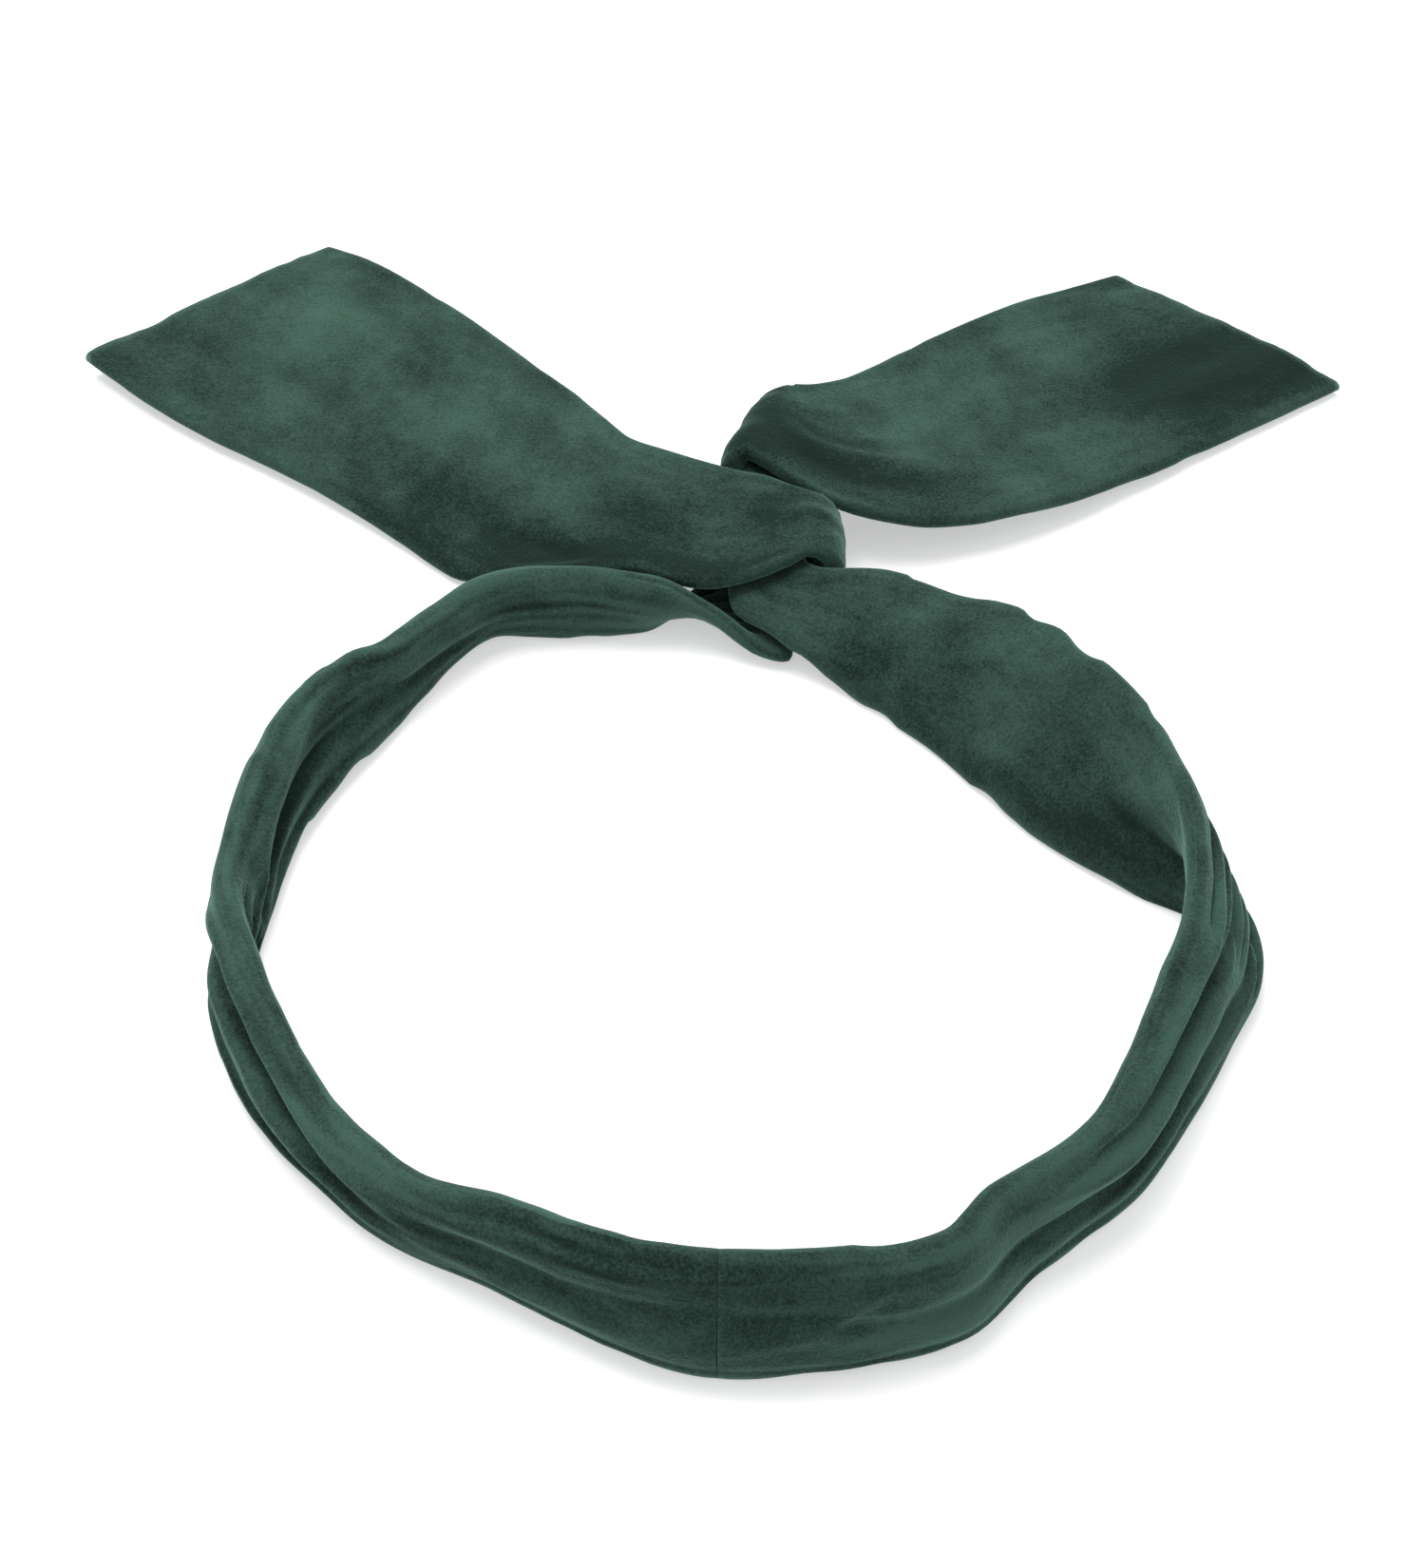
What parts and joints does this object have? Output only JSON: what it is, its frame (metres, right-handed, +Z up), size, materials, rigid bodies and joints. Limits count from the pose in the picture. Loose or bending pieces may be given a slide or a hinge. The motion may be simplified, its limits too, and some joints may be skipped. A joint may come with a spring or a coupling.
{
  "type": "knotted headband",
  "caption": "Wired suede headband: a flat sleeve closed in a head loop and twisted into a knot, with square-cut tails that bend up and stay where they are put.",
  "frame": {"origin": "middle of the underside of the object's box, on the surface it lies on", "axes": "+Z up; -Y towards the nape, the side of the loop away from the knot; +X towards the right-hand tail"},
  "size_m": [0.2467, 0.2729, 0.0237],
  "materials": {
    "suede": "brushed suede nap, matt",
    "suede_back": "plain woven backing, matt",
    "wire": "drawn steel wire",
    "tape": "cloth tape"
  },
  "bodies": {
    "band": {"left_loop_sleeve": "suede", "right_loop_sleeve": "suede", "nape_seam": "suede_back", "upper_loop_wire": "wire", "lower_left_wire": "wire", "lower_right_wire": "wire", "wire_joint_tape": "tape"},
    "left_tail": {"left_tail_sleeve": "suede", "left_end_hem": "suede_back", "left_tail_wire": "wire"},
    "right_tail": {"right_tail_sleeve": "suede", "right_end_hem": "suede_back", "right_tail_wire": "wire"}
  },
  "joints": [
    {"name": "left_tail_lift", "type": "hinge", "parent": "band", "child": "left_tail", "pos_m": [-0.03663, 0.06336, 0.00952], "axis": [0.466, 0.8763, 0.1219], "range_deg": [0, 75]},
    {"name": "right_tail_lift", "type": "hinge", "parent": "band", "child": "right_tail", "pos_m": [0.03589, 0.06934, 0.01232], "axis": [0.5821, -0.8011, -0.1392], "range_deg": [0, 75]}
  ]
}
